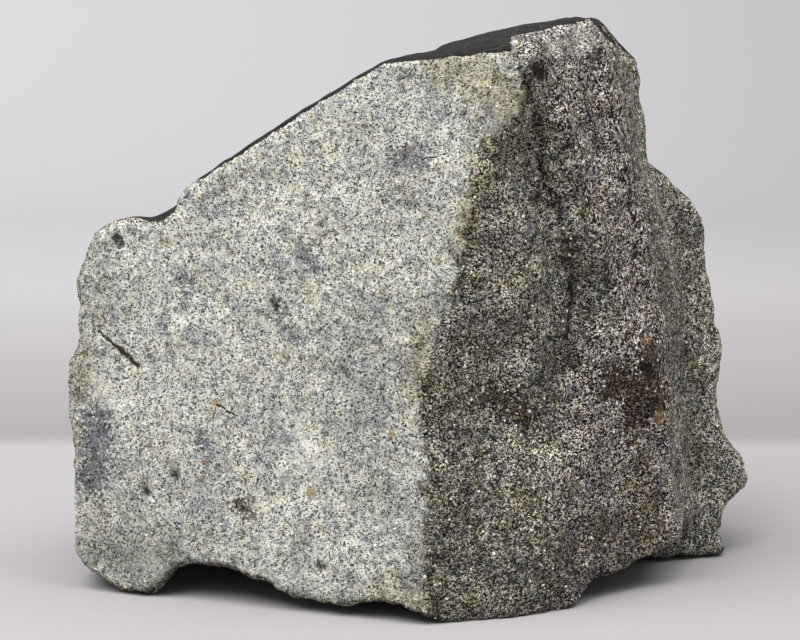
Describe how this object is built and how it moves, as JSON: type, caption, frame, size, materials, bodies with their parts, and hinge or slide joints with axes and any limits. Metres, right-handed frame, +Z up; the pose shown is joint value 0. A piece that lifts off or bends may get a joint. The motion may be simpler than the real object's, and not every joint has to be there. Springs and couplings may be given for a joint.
{
  "type": "ll chondrite meteorite",
  "caption": "Broken stony meteorite with granular grey fracture faces, a sharp front ridge and dark thumbprinted fusion crust on its top and back.",
  "frame": {"origin": "middle of the stone's bounding box in plan, on the surface it rests on", "axes": "+Z up, +X to the viewer's right along the stone's longest side, +Y to the back; the sharp ridge faces the front, -Y"},
  "size_m": [0.1932, 0.13, 0.1565],
  "materials": {
    "broken_chondrite": "matte, granular"
  },
  "bodies": {
    "root": {"meteorite": "broken_chondrite"}
  },
  "joints": []
}
